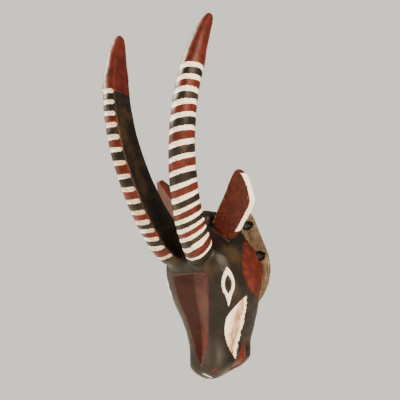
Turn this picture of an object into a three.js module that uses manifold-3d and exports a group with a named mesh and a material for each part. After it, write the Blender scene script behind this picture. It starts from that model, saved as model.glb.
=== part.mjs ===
// Antelope head wall mask, carved from one block of wood, hollow behind, painted black, red-brown
// and white. Millimetres, +Z up, the wall behind at Y = 0 and the face looking along -Y.
// The origin is on the flat back of the collar, above the hollow, where the mask bears on the wall.
import * as THREE from 'three';
import { mergeVertices } from 'three/addons/utils/BufferGeometryUtils.js';
import Module from 'manifold-3d';

const wasm = await Module();
wasm.setup();

// Head: half width and front of its squarish sections, from the chin up to the crown
const CHIN_BOTTOM = -228;
const CROWN_TOP = -10;
const HEAD = [
  { z: CHIN_BOTTOM, half: 30, front: -77.5 },
  { z: -201, half: 30.5, front: -78.5 },
  { z: -180, half: 31.5, front: -79.5 },
  { z: -148, half: 41, front: -85.5 },
  { z: -127, half: 49.5, front: -93 },
  { z: -104, half: 55.5, front: -99 },
  { z: -89, half: 57, front: -102.5 },
  { z: -74, half: 56, front: -106 },
  { z: -60, half: 51, front: -106 },
  { z: -46, half: 39, front: -100 },
  { z: -30, half: 24, front: -88 },
  { z: -16, half: 12, front: -74 },
];
const HEAD_BACK = 2;            // the sections' own back, just past the wall, where they are sawn off flat
const HEAD_SQUARENESS = 4;      // 2 is an ellipse, more is squarer
const CROWN_ROUNDING = 6;       // the crown closes over this height
const CROWN_SHARE = 0.55;       // its last ring, as a share of the one below
const HEAD_ROW = 9.3;           // height of one row of faces
const NOSE_END_HEIGHT = 19;     // the muzzle draws in over this height
const NOSE_END_INSET = 17;
const NOSE_END_CURVE = 2.4;     // more keeps it fuller above and rounds it off lower down
const NOSE_END_BACK = 0.3;      // the back draws in by this share of the front
const JAW_LIFT = 21;            // the jaw's back is this much higher than the nose
const JAW_LIFT_FROM = -150;

// Collar: a flange round the back, its outline the hull of two discs
const COLLAR_LOW = { z: -77, radius: 59 };
const COLLAR_HIGH = { z: -23, radius: 35 };
const COLLAR_RIM = 4;           // thickness at the edge
const COLLAR_ROOT = 15;         // how far forward the flange has risen where it meets the head
const COLLAR_SLOPE_WIDTH = 20;
const LASHING_HOLES = [         // each so far in from the rim of one disc, and so many degrees up
  { disc: COLLAR_LOW, inset: 10.2, turn: 20.4, diameter: 15, exit: 6.8, slant: 5 },
  { disc: COLLAR_HIGH, inset: 8, turn: 15, diameter: 13, exit: 6.5, slant: 4 },
];
const HOLE_DEPTH = 16;          // how deep their wide mouths reach into the head's side
const HOLE_NARROWS = 9.5;       // from this depth they taper and slant outwards to the wall
const HOLE_OVERRUN = 1;

// Poll: the blunt round ridge that runs from the crown back to the collar
const POLL = { z: -12, radius: 13.5, front: -82 };

// Brow: the swelling of the forehead that carries both horns
const BROW = { y: -88, z: -68, halfWidth: 44, halfDepth: 22, halfHeight: 21 };

// Hollow behind the face
const HOLLOW_TOP = -34;
const HOLLOW_BOTTOM = -168;
const HOLLOW_HALF = 33;         // its widest, at the eyes
const SIDE_WALL = 18;
const FRONT_WALL = 24;
const HOLLOW_SQUARENESS = 3;
const HOLLOW_BACK = 8;          // it is cut from this far behind the wall plane
const HOLLOW_END_SHARE = 0.22;  // its flat ends, as a share of the full section

// Carvings are cut with bars that start well outside the wood
const CLEAR_FRONT = -160;       // in front of the brow
const SIDE_BAR = 80;            // from the middle line out through one side
const EYE_BAR = 60;             // half of it each way from the eye's own face

// Blaze: the long triangular trough down the face, a valley along the middle line
const BLAZE = [
  { z: -89, half: 31.6, edge: -101.2, depth: 7.5 },
  { z: -108, half: 29.3, edge: -97.5, depth: 7.5 },
  { z: -126, half: 25.2, edge: -92.5, depth: 7 },
  { z: -147, half: 18.9, edge: -85.2, depth: 5.5 },
  { z: -168, half: 14.8, edge: -81, depth: 4.5 },
  { z: -188, half: 9.4, edge: -79, depth: 3.5 },
  { z: -210, half: 0.6, edge: -78.2, depth: 1 },
];

// Eyes: a raised ring with a drop-shaped tail, and a domed pupil inside it
const EYE_PLACE = new THREE.Vector3(51.5, -82, -101);
const EYE_FACING = 24;          // degrees its face turns from sideways towards the front
const EYE_TILT = 9;             // degrees its tail leans back
const EYE = { top: 21.5, half: 11.5, neck: -15, neckHalf: 6, tail: -33 };
const EYE_SHOULDER = { out: 0.7, up: 0.6, swell: 1.25, z: -2 };
const PUPIL = { z: -2, half: 5, height: 11, swell: 1.7 };
const PUPIL_MOAT = 1.8;
const EYE_PROUD = 2;
const PUPIL_PROUD = 2.8;

// Carvings cut into both sides, drawn in side view
const CHEEK_MOON_DEPTH = 5.5;   // at its straight back edge; it runs out to nothing at the curved one
const CHEEK_MOON_REACH = 32;
const CHEEK_MOON_EDGE = { x: 36, y: -69 };      // where its curved edge leaves the cheek
const TEMPLE_DEPTH = 1.6;
const MOUTH_DEPTH = 3.5;

// Horns: two arcs that lean forward and splay, of a D section with its flat side inwards
const HORN_ARC = { radius: 287, z: 130 };       // the arc is foremost at this height
const HORN_X = 35;              // sideways place of the horn's axis at z = 0
const HORN_SPLAY = 0.215;
const HORN_SPLAY_EASE = -0.00007;
const HORN_ROOT_Z = -80;
const HORN_ROOT_Y = -85.6;      // where the arc ends, inside the head
const HORN_TIP_Z = 246;
const HORN_ROOT_SHIFT = { x: -3.6, y: 4, from: -40, to: -60 };  // the roots draw together and back
const HORN_HEEL = { below: 4, share: 0.5 };     // this far below the last ring it draws in to this share
const HORN_LONG = 22.1;         // section half length, along its own leaning axis
const HORN_SHORT = 17.95;
const HORN_LEAN = 29;           // degrees the section's long axis leans outwards
const HORN_FLAT = 10.6;         // the flat inner side lies this far from the axis
const HORN_FLAT_EDGE = 19;      // and its two edges this far
const HORN_TIP_SHARE = 0.75;    // the section's size at the tip, before the tip rounds off
const HORN_GROWTH = 0.00121;    // what each millimetre down the horn adds to that share
const HORN_TIP_LENGTH = 70;
const HORN_TIP_BLUNTNESS = 0.36;

// Rings gouged round the front and outer sides of each horn
const RING_DEPTH = 1.6;
const RING_WIDTH = 7.6;
const RING_SIDES = 1.3;         // run of each sloping side
const RING_CROWDING = 0.0525;   // the rings lie a little wider apart halfway down
const RING_CURVE = 1.5;         // more than 1 puts the widest place lower
const LEFT_RINGS = { count: 17, first: 82.1, span: 244.9, tilt: 0.34 };
const RIGHT_RINGS = { count: 16, first: 93.6, span: 227.4, tilt: 0.24 };
const TILT_FROM = { start: 20, full: 75 };      // the tip's own sections are square to the horn

// Ears: flat leaves of one outline, with a bevelled outer edge
const EAR_TIP = new THREE.Vector3(72, -89.4, 47);
const EAR_FACING = new THREE.Vector3(0.305, -0.872, -0.382).normalize();
const EAR_LENGTHWAYS = new THREE.Vector3(0.468, -0.212, 0.858);
const EAR_THICK = 8;
const EAR_BEVEL = 4.5;         // the outer edge spreads this much from the face to the back
const EAR_ROOT = { across: 3, up: -78, depth: 30, share: 0.3 };

// Saw cut along the wall plane
const WALL_CUT = { width: 400, depth: 60, height: 600 };

const COLOURS = { wood: 0x2e2620 };

// A value that changes smoothly from station to station
function station(list, key, z) {
  const points = list.map((s) => new THREE.Vector2(s.z, s[key]));
  const up = points[points.length - 1].x > points[0].x ? points : points.reverse();
  if (z <= up[0].x) return up[0].y;
  if (z >= up[up.length - 1].x) return up[up.length - 1].y;
  const i = up.findIndex((p) => p.x > z) - 1;
  const slope = (k) => {
    const a = up[Math.max(k - 1, 0)];
    const b = up[Math.min(k + 1, up.length - 1)];
    return (b.y - a.y) / (b.x - a.x);
  };
  const width = up[i + 1].x - up[i].x;
  const t = (z - up[i].x) / width;
  const ease = 3 * t ** 2 - 2 * t ** 3;
  const leaving = (t ** 3 - 2 * t ** 2 + t) * width * slope(i);
  const arriving = (t ** 3 - t ** 2) * width * slope(i + 1);
  return (1 - ease) * up[i].y + leaving + ease * up[i + 1].y + arriving;
}

// A closed skin over a list of rings of equal count, with a flat fan on each end
function skin(rings) {
  const count = rings[0].length;
  const middle = (ring) => ring.reduce((sum, p) => sum.add(p), new THREE.Vector3()).divideScalar(count);
  const points = [...rings.flat(), middle(rings[0]), middle(rings[rings.length - 1])];
  const index = [];
  for (let r = 0; r + 1 < rings.length; r++) {
    for (let i = 0; i < count; i++) {
      const a = r * count + i;
      const b = r * count + (i + 1) % count;
      index.push(a, b, a + count, b, b + count, a + count);
    }
  }
  const last = (rings.length - 1) * count;
  for (let i = 0; i < count; i++) {
    const next = (i + 1) % count;
    index.push(points.length - 2, next, i, points.length - 1, last + i, last + next);
  }
  const geometry = new THREE.BufferGeometry();
  geometry.setFromPoints(points);
  geometry.setIndex(index);
  return geometry;
}

// A three.js geometry as a solid that can be joined and cut, faces outwards whichever way it was wound
function solid(geometry) {
  const bare = geometry.clone();
  bare.deleteAttribute('normal');
  bare.deleteAttribute('uv');
  const merged = mergeVertices(bare, 1e-4);
  const position = merged.attributes.position;
  const index = Array.from(merged.index.array);
  const corner = (k) => new THREE.Vector3().fromBufferAttribute(position, index[k]);
  let volume = 0;
  for (let k = 0; k < index.length; k += 3) {
    volume += corner(k).dot(corner(k + 1).cross(corner(k + 2)));
  }
  if (volume < 0) index.reverse();
  const vertProperties = new Float32Array(position.array);
  return new wasm.Manifold(new wasm.Mesh({ numProp: 3, vertProperties, triVerts: new Uint32Array(index) }));
}

// The same solid on the other side of the mask
function mirrored(geometry) {
  return geometry.clone().scale(-1, 1, 1);
}

const joined = (solids) => solids.reduce((sum, next) => sum.add(next));

// Head
function squareRing(half, front, back, squareness, count) {
  const ring = [];
  for (let i = 0; i < count; i++) {
    const a = (2 * Math.PI * i) / count;
    const n = squareness;
    const r = (Math.abs(Math.cos(a)) ** n + Math.abs(Math.sin(a)) ** n) ** (-1 / n);
    const depth = ((back - front) / 2) * r * Math.sin(a);
    ring.push({ x: half * r * Math.cos(a), y: (front + back) / 2 + depth });
  }
  return ring;
}

// One level section of the head; a carving's depth is a head drawn smaller or larger all round
function headSection(z, count, grow) {
  const rise = Math.min(Math.max((CHIN_BOTTOM + NOSE_END_HEIGHT - z) / NOSE_END_HEIGHT, 0), 1);
  const inset = NOSE_END_INSET * rise ** NOSE_END_CURVE;
  const half = station(HEAD, 'half', z) - inset + grow;
  const front = station(HEAD, 'front', z) + inset - grow;
  const back = HEAD_BACK - inset * NOSE_END_BACK;
  const low = THREE.MathUtils.smoothstep(-z, -JAW_LIFT_FROM, -CHIN_BOTTOM);
  return squareRing(half, front, back, HEAD_SQUARENESS, count)
    .map(({ x, y }) => new THREE.Vector3(x, y, z + JAW_LIFT * low * (y - front) / (back - front)));
}

function head(grow = 0) {
  const heights = [0, 0.1, 0.37, 0.68].map((share) => CHIN_BOTTOM + share * NOSE_END_HEIGHT);
  const low = CHIN_BOTTOM + NOSE_END_HEIGHT;
  const high = CROWN_TOP - CROWN_ROUNDING;
  const rows = Math.round((high - low) / HEAD_ROW);
  for (let i = 0; i <= rows; i++) heights.push(low + (high - low) * i / rows);
  const count = 32;
  const rings = heights.map((z) => headSection(z, count, grow));
  const top = rings[rings.length - 1];
  const middle = top.reduce((sum, p) => sum.add(p), new THREE.Vector3()).divideScalar(count);
  const closing = CROWN_TOP - CROWN_ROUNDING / 4;
  rings.push(top.map((p) => middle.clone().lerp(p, CROWN_SHARE).setZ(closing)));
  return skin(rings);
}

// Poll ridge
function poll() {
  const round = new THREE.CapsuleGeometry(POLL.radius, -POLL.front, 3, 14);
  return round.translate(0, POLL.front / 2 + POLL.radius, POLL.z);
}

// Collar
function collarOutline(grow) {
  const rise = COLLAR_HIGH.z - COLLAR_LOW.z;
  const lean = Math.asin((COLLAR_LOW.radius - COLLAR_HIGH.radius) / rise);
  const shape = new THREE.Shape();
  shape.absarc(0, COLLAR_LOW.z, COLLAR_LOW.radius + grow, Math.PI - lean, lean + 2 * Math.PI, false);
  shape.absarc(0, COLLAR_HIGH.z, COLLAR_HIGH.radius + grow, lean, Math.PI - lean, false);
  return shape;
}

function collar() {
  const outline = (grow, y) => collarOutline(grow).getSpacedPoints(40).slice(0, 40)
    .map((p) => new THREE.Vector3(p.x, y, p.y));
  return skin([
    outline(0, 0), outline(0, -COLLAR_RIM), outline(-COLLAR_SLOPE_WIDTH, -COLLAR_ROOT),
  ]);
}

// Horns
const hornAxis = (z) => {
  const lean = Math.asin((z - HORN_ARC.z) / HORN_ARC.radius);
  const root = THREE.MathUtils.smoothstep(-z, -HORN_ROOT_SHIFT.from, -HORN_ROOT_SHIFT.to);
  const x = HORN_X + HORN_SPLAY * z + HORN_SPLAY_EASE * z ** 2 + HORN_ROOT_SHIFT.x * root;
  const arcY = HORN_ROOT_Y + Math.sqrt(HORN_ARC.radius ** 2 - (HORN_ROOT_Z - HORN_ARC.z) ** 2);
  const y = arcY - HORN_ARC.radius * Math.cos(lean) + HORN_ROOT_SHIFT.y * root;
  return new THREE.Vector3(x, y, z);
};

function hornPath() {
  const path = [];
  const steps = 400;
  for (let i = 0; i <= steps; i++) {
    path.push(hornAxis(HORN_TIP_Z + (HORN_ROOT_Z - HORN_TIP_Z) * i / steps));
  }
  return new THREE.CatmullRomCurve3(path);
}
const HORN_PATH = hornPath();
HORN_PATH.arcLengthDivisions = 1200;
const HORN_LENGTH = HORN_PATH.getLength();
const LAST_RING = Math.max(LEFT_RINGS.first + LEFT_RINGS.span, RIGHT_RINGS.first + RIGHT_RINGS.span);
const HEEL_LENGTH = HORN_LENGTH - LAST_RING - RING_WIDTH / 2 - HORN_HEEL.below;

// Distance of a ring's middle from the horn's tip
function ringPlace(rings, k) {
  const t = k / (rings.count - 1);
  return rings.first + rings.span * (t + RING_CROWDING * Math.sin(Math.PI * t ** RING_CURVE) ** 2);
}

// The middle of the horn, its directions and its size, a distance from the tip
function hornFrame(fromTip) {
  const u = Math.min(fromTip / HORN_LENGTH, 1);
  const centre = HORN_PATH.getPointAt(u);
  const along = HORN_PATH.getTangentAt(u).negate();
  const outward = new THREE.Vector3(1, 0, 0);
  outward.addScaledVector(along, -outward.dot(along)).normalize();
  const back = new THREE.Vector3().crossVectors(along, outward);
  const tip = Math.min(fromTip / HORN_TIP_LENGTH, 1) ** HORN_TIP_BLUNTNESS;
  const low = THREE.MathUtils.smoothstep(fromTip, HORN_LENGTH - HEEL_LENGTH, HORN_LENGTH);
  const heel = 1 - (1 - HORN_HEEL.share) * low;
  return { centre, outward, back, scale: (HORN_TIP_SHARE + HORN_GROWTH * fromTip) * tip * heel };
}

// One section of the horn; a tilted one rises towards the outer side
function hornSection({ fromTip, ringCut = 0, tilt = 0 }, count) {
  const size = hornFrame(fromTip).scale;
  const lean = THREE.MathUtils.degToRad(HORN_LEAN);
  const flatAngle = Math.acos(-HORN_FLAT / HORN_FLAT_EDGE);
  const ring = [];
  for (let i = 0; i < count; i++) {
    const side = -1 + (2 * i) / (count - 1);
    const a = side * flatAngle;
    const direction = new THREE.Vector2(Math.cos(a), Math.sin(a)).rotateAround(new THREE.Vector2(), -lean);
    const r = 1 / Math.hypot(direction.x / HORN_SHORT, direction.y / HORN_LONG);
    let x = r * Math.cos(a);
    let y = r * Math.sin(a);
    if (x < -HORN_FLAT) {
      y *= -HORN_FLAT / x;
      x = -HORN_FLAT;
    }
    const { centre, outward, back, scale } = hornFrame(fromTip - tilt * x * size);
    const wrap = THREE.MathUtils.smoothstep(1 - Math.abs(side), 0, 0.1);
    const cut = 1 - ringCut * wrap * RING_DEPTH / (r * scale);
    const point = centre.clone().addScaledVector(outward, x * scale * cut);
    ring.push(point.addScaledVector(back, y * scale * cut));
  }
  return ring;
}

function horn(rings) {
  const plain = [0.017, 0.057, 0.17, 0.37, 0.66, 0.92];
  const places = plain.map((share) => ({ fromTip: share * HORN_TIP_LENGTH }));
  const half = RING_WIDTH / 2;
  for (let k = 0; k < rings.count; k++) {
    const middle = ringPlace(rings, k);
    for (const [off, ringCut] of [[-half, 0], [RING_SIDES - half, 1], [half - RING_SIDES, 1], [half, 0]]) {
      places.push({ fromTip: middle + off, ringCut });
    }
  }
  for (const place of places) {
    place.tilt = rings.tilt * THREE.MathUtils.smoothstep(place.fromTip, TILT_FROM.start, TILT_FROM.full);
  }
  for (const share of [0.7, 0.45, 0.2, 0]) places.push({ fromTip: HORN_LENGTH - share * HEEL_LENGTH });
  return skin(places.map((place) => hornSection(place, 14)));
}

// Ears
function ear() {
  const face = new THREE.Shape();
  face.moveTo(-15, -82);
  face.lineTo(-2.5, -4);
  face.quadraticCurveTo(-1, 1.5, 4, 1);
  face.bezierCurveTo(13, -2, 24, -20, 29, -33);
  face.quadraticCurveTo(30.5, -40, 28.5, -47);
  face.lineTo(21, -78);
  face.lineTo(13, -100);
  const points = face.getPoints(5);
  const spread = (p) => EAR_BEVEL * THREE.MathUtils.smoothstep(p.x, 0, 10);
  const front = points.map((p) => new THREE.Vector3(p.x, p.y, 0));
  const back = points.map((p) => new THREE.Vector3(p.x + spread(p), p.y, EAR_THICK));
  const root = points.map((p) => new THREE.Vector3(
    EAR_ROOT.across + (p.x - EAR_ROOT.across) * EAR_ROOT.share,
    EAR_ROOT.up + (p.y - EAR_ROOT.up) * EAR_ROOT.share, EAR_ROOT.depth,
  ));
  const behind = EAR_FACING.clone().negate();
  const across = new THREE.Vector3().crossVectors(EAR_LENGTHWAYS, behind).normalize();
  if (across.x < 0) across.negate();
  const upright = new THREE.Vector3().crossVectors(behind, across).normalize();
  if (upright.z < 0) upright.negate();
  const place = new THREE.Matrix4().makeBasis(across, upright, behind).setPosition(EAR_TIP);
  return skin([front, back, root]).applyMatrix4(place);
}

// Brow
function brow() {
  const round = new THREE.SphereGeometry(1, 16, 8);
  return round.scale(BROW.halfWidth, BROW.halfDepth, BROW.halfHeight).translate(0, BROW.y, BROW.z);
}

// Hollow
function hollow() {
  const rings = [];
  const steps = 10;
  for (let i = 0; i <= steps; i++) {
    const turn = Math.PI * (i / steps - 0.5);
    const z = (HOLLOW_TOP + HOLLOW_BOTTOM) / 2 + ((HOLLOW_TOP - HOLLOW_BOTTOM) / 2) * Math.sin(turn);
    const swell = Math.max(Math.cos(turn) ** 0.5, HOLLOW_END_SHARE);
    const half = Math.min(station(HEAD, 'half', z) - SIDE_WALL, HOLLOW_HALF) * swell;
    const front = (station(HEAD, 'front', z) + FRONT_WALL) * swell;
    const ring = squareRing(half, front, HOLLOW_BACK, HOLLOW_SQUARENESS, 20);
    rings.push(ring.map(({ x, y }) => new THREE.Vector3(x, y, z)));
  }
  return skin(rings);
}

function lashingHole({ disc, inset, turn, diameter, exit, slant }) {
  const angle = THREE.MathUtils.degToRad(turn);
  const z = disc.z + (disc.radius - inset) * Math.sin(angle);
  const end = 1 + HOLE_OVERRUN / HOLE_NARROWS;
  const circle = (y, narrowing) => {
    const x = (disc.radius - inset) * Math.cos(angle) + slant * narrowing;
    const radius = (diameter + (exit - diameter) * narrowing) / 2;
    return new THREE.EllipseCurve(x, z, radius, radius).getPoints(16).slice(0, 16)
      .map((p) => new THREE.Vector3(p.x, y, p.y));
  };
  return skin([circle(-HOLE_DEPTH, 0), circle(-HOLE_NARROWS, 0), circle(HOLE_OVERRUN, end)]);
}

// Blaze
function blaze() {
  return skin(BLAZE.map(({ z, half, edge, depth }) => [
    new THREE.Vector3(-half, edge, z),
    new THREE.Vector3(0, edge + depth, z),
    new THREE.Vector3(half, edge, z),
    new THREE.Vector3(half, CLEAR_FRONT, z),
    new THREE.Vector3(-half, CLEAR_FRONT, z),
  ]));
}

// A shape drawn in side view, y to the right and z up, as a bar through the left side of the head
function sideBar(shape) {
  const bar = new THREE.ExtrudeGeometry(shape, { depth: SIDE_BAR, bevelEnabled: false, curveSegments: 7 });
  const place = new THREE.Matrix4().makeBasis(
    new THREE.Vector3(0, 1, 0), new THREE.Vector3(0, 0, 1), new THREE.Vector3(1, 0, 0),
  );
  return bar.applyMatrix4(place);
}

// Cheek moon: curved in front, nearly straight behind, its floor sloping down to a steep back wall
function cheekMoon() {
  const shape = new THREE.Shape();
  shape.moveTo(-43, -116);
  shape.bezierCurveTo(-62, -128, -75, -141, -69.5, -158);
  shape.bezierCurveTo(-66, -174, -56, -187, -41.5, -201);
  shape.quadraticCurveTo(-27, -166, -43, -116);
  return shape;
}

// Temple lens: pointed at both ends
function templeLens() {
  const shape = new THREE.Shape();
  shape.moveTo(-18, -37);
  shape.bezierCurveTo(-72, -62, -70, -97, -19, -120);
  shape.bezierCurveTo(-6, -100, -4, -60, -18, -37);
  return shape;
}

// Mouth corner: a leaf, its lower tip under the chin
function mouthLeaf() {
  const shape = new THREE.Shape();
  shape.moveTo(-22.5, -170);
  shape.bezierCurveTo(-30, -188, -37, -205, -37, -219);
  shape.bezierCurveTo(-22, -216, -14, -200, -22.5, -170);
  return shape;
}

function eyeRing() {
  const shape = new THREE.Shape();
  shape.moveTo(0, EYE.top);
  const { out, up, swell, z } = EYE_SHOULDER;
  shape.bezierCurveTo(-EYE.half * out, EYE.top * up, -EYE.half * swell, z, -EYE.neckHalf, EYE.neck);
  shape.lineTo(0, EYE.tail);
  shape.lineTo(EYE.neckHalf, EYE.neck);
  shape.bezierCurveTo(EYE.half * swell, z, EYE.half * out, EYE.top * up, 0, EYE.top);
  return shape;
}

function pupil(spread) {
  const half = PUPIL.half + spread;
  const height = PUPIL.height + spread;
  const shape = new THREE.Shape();
  shape.moveTo(0, PUPIL.z + height);
  shape.quadraticCurveTo(-half * PUPIL.swell, PUPIL.z, 0, PUPIL.z - height);
  shape.quadraticCurveTo(half * PUPIL.swell, PUPIL.z, 0, PUPIL.z + height);
  return shape;
}

// A shape drawn on the eye, x towards the back and y up, as a bar that runs out through it
function eyeBar(shape) {
  const bar = new THREE.ExtrudeGeometry(shape, { depth: EYE_BAR, bevelEnabled: false, curveSegments: 6 });
  bar.translate(0, 0, -EYE_BAR / 2);
  bar.rotateZ(THREE.MathUtils.degToRad(EYE_TILT));
  const turn = THREE.MathUtils.degToRad(EYE_FACING);
  const place = new THREE.Matrix4().makeBasis(
    new THREE.Vector3(Math.sin(turn), Math.cos(turn), 0), new THREE.Vector3(0, 0, 1),
    new THREE.Vector3(Math.cos(turn), -Math.sin(turn), 0),
  );
  return bar.applyMatrix4(place.setPosition(EYE_PLACE));
}

// Joins the left one of a pair and its mirror image
const pair = (carving) => carving.add(carving.mirror([1, 0, 0]));

const ears = pair(solid(ear()));
const body = solid(head());
const horns = solid(horn(LEFT_RINGS)).add(solid(mirrored(horn(RIGHT_RINGS))));
const hide = (grow) => solid(head(grow));

const ring = hide(EYE_PROUD).intersect(solid(eyeBar(eyeRing())).subtract(solid(eyeBar(pupil(PUPIL_MOAT)))));
const dome = hide(PUPIL_PROUD).intersect(solid(eyeBar(pupil(0))));
const eyes = pair(ring.add(dome));

const moonTurn = Math.atan(CHEEK_MOON_DEPTH / CHEEK_MOON_REACH);
const { x: edgeX, y: edgeY } = CHEEK_MOON_EDGE;
const moonFloor = head().translate(-edgeX, -edgeY, 0).rotateZ(moonTurn).translate(edgeX, edgeY, 0);
const moons = pair(solid(sideBar(cheekMoon())).subtract(solid(moonFloor)));
const temples = pair(solid(sideBar(templeLens())).subtract(hide(-TEMPLE_DEPTH)));
const mouths = pair(solid(sideBar(mouthLeaf())).subtract(hide(-MOUTH_DEPTH)));
const holes = pair(joined(LASHING_HOLES.map((hole) => solid(lashingHole(hole)))));

const carvedOut = [moons, temples, mouths, solid(blaze()), holes];
const grown = joined([body, solid(brow()), solid(poll()), solid(collar()), eyes]);
let mask = carvedOut.reduce((left, cut) => left.subtract(cut), grown).add(ears).add(horns);

// The hollow is gouged out last, and everything behind the wall plane is sawn off
const wallCut = new THREE.BoxGeometry(WALL_CUT.width, WALL_CUT.depth, WALL_CUT.height)
  .translate(0, WALL_CUT.depth / 2, 0);
mask = mask.subtract(solid(hollow())).subtract(solid(wallCut));

function geometryOf(carving) {
  const mesh = carving.getMesh();
  const geometry = new THREE.BufferGeometry();
  geometry.setAttribute('position', new THREE.Float32BufferAttribute(mesh.vertProperties, 3));
  geometry.setIndex(Array.from(mesh.triVerts));
  return geometry;
}

const object = new THREE.Group();
const wood = new THREE.MeshStandardMaterial({ color: COLOURS.wood, roughness: 0.45, metalness: 0 });
const carved = new THREE.Mesh(geometryOf(mask), wood);
carved.name = 'carved_mask';
object.add(carved);

export default object;
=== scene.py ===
import math

import bpy
import numpy as np
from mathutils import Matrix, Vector


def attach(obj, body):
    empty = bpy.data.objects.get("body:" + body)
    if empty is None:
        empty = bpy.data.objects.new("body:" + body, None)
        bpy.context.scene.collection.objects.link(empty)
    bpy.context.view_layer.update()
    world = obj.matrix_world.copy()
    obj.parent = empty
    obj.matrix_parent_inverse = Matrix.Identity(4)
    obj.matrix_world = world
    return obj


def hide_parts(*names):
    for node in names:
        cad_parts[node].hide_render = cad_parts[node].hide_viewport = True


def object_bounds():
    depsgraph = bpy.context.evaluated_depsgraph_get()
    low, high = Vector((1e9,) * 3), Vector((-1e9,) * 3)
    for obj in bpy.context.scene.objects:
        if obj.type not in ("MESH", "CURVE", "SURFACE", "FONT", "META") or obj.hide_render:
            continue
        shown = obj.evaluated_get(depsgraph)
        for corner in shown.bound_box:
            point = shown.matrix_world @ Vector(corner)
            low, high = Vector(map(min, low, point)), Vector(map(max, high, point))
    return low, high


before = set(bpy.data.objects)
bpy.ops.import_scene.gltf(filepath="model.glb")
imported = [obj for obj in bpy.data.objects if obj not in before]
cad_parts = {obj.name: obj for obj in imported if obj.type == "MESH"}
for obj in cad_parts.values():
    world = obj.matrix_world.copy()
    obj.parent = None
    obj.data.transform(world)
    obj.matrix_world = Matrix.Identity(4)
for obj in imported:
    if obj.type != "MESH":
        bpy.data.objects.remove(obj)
cad_box = [list(corner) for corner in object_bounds()]


# View
# A long lens a little below the face, which shows the mask from its left and looks slightly up.
VIEW_TURN = math.radians(42)
VIEW_RISE = math.radians(8)
VIEW_AIM = Vector((0, -0.080, 0.015))
VIEW_DISTANCE = 1.7125
LENS = 112.5

level = math.cos(VIEW_RISE)
look = Vector((-math.sin(VIEW_TURN) * level, math.cos(VIEW_TURN) * level, math.sin(VIEW_RISE)))
bpy.ops.object.camera_add(location=VIEW_AIM - look * VIEW_DISTANCE)
camera = bpy.context.object
camera.rotation_euler = look.to_track_quat("-Z", "Y").to_euler()
camera.name = "camera"
camera.data.lens = LENS
camera.data.sensor_width = 36
bpy.context.scene.camera = camera


# Floor
# A plain pale floor some way under the mask, which hangs free of it, and a pale surround.
FLOOR_DROP = 0.13
FLOOR_SIZE = 6
FLOOR_PALE = "#e4dfd6"


def linear(hex_colour):
    """An sRGB hex colour as the linear RGBA that a shader socket takes."""
    parts = [int(hex_colour[i:i + 2], 16) / 255 for i in (1, 3, 5)]
    return [p / 12.92 if p <= 0.04045 else ((p + 0.055) / 1.055) ** 2.4 for p in parts] + [1]


bpy.ops.mesh.primitive_plane_add(size=FLOOR_SIZE, location=(0, 0, cad_box[0][2] - FLOOR_DROP))
floor = bpy.context.object
floor.name = "floor"
floor_paint = bpy.data.materials.new("matt_floor_paint")
floor_paint.use_nodes = True
floor_shader = floor_paint.node_tree.nodes["Principled BSDF"]
floor_shader.inputs["Base Color"].default_value = linear(FLOOR_PALE)
floor_shader.inputs["Roughness"].default_value = 0.9
floor.data.materials.append(floor_paint)


# Light
# One broad soft lamp high on the left, a weaker one on the right, and an even pale surround
# that looks brighter than the light it sheds.
SURROUND = "#ece6da"
SURROUND_LIGHT = 0.42
SURROUND_SEEN = 1.25
LAMPS = {
    "window": {"at": (-1.75, -0.75, 1.25), "size": 1.0, "watts": 190, "colour": "#fff2dc"},
    "bounce": {"at": (2.0, -0.6, 0.6), "size": 1.2, "watts": 90, "colour": "#ffe9cc"},
}

world = bpy.data.worlds.new("surround")
world.use_nodes = True
shed = world.node_tree.nodes["Background"]
shed.inputs["Color"].default_value = linear(SURROUND)
rays = world.node_tree.nodes.new("ShaderNodeLightPath")
brightness = world.node_tree.nodes.new("ShaderNodeMapRange")
brightness.inputs["To Min"].default_value = SURROUND_LIGHT
brightness.inputs["To Max"].default_value = SURROUND_SEEN
world.node_tree.links.new(rays.outputs["Is Camera Ray"], brightness.inputs["Value"])
world.node_tree.links.new(brightness.outputs["Result"], shed.inputs["Strength"])
bpy.context.scene.world = world
for name, lamp in LAMPS.items():
    aim = VIEW_AIM - Vector(lamp["at"])
    bpy.ops.object.light_add(type="AREA", location=lamp["at"])
    light = bpy.context.object
    light.rotation_euler = aim.to_track_quat("-Z", "Y").to_euler()
    light.name = name
    light.data.size = lamp["size"]
    light.data.energy = lamp["watts"]
    light.data.color = linear(lamp["colour"])[:3]


# Head
# The block itself: a long muzzle of squarish section that swells at the eyes, narrows to the crown
# and is sawn off flat behind. It was roughed out with an adze and smoothed with a knife.
MM = 0.001
CHIN_BOTTOM = -228
CROWN_TOP = -10
CROWN_ROUNDING = 6
HEAD = [  # height, half width, front
    (CHIN_BOTTOM, 30, -77.5), (-201, 30.5, -78.5), (-180, 31.5, -79.5), (-148, 41, -85.5), (-127, 49.5, -93),
    (-104, 55.5, -99), (-89, 57, -102.5), (-74, 56, -106), (-60, 51, -106), (-46, 39, -100), (-30, 24, -88),
    (-16, 12, -74),
]
HEAD_BACK = 2
HEAD_SQUARENESS = 4
NOSE_END_HEIGHT = 19
NOSE_END_INSET = 17
NOSE_END_CURVE = 2.4
NOSE_END_BACK = 0.3
JAW_LIFT = 21
JAW_LIFT_FROM = -150
END_SHARE = 0.05    # the part of the block's length that closes its ends


def ramp(value, start, end):
    """0 before start, 1 after end and a smooth rise between them."""
    t = np.clip((value - start) / (end - start), 0, 1)
    return t * t * (3 - 2 * t)


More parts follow.
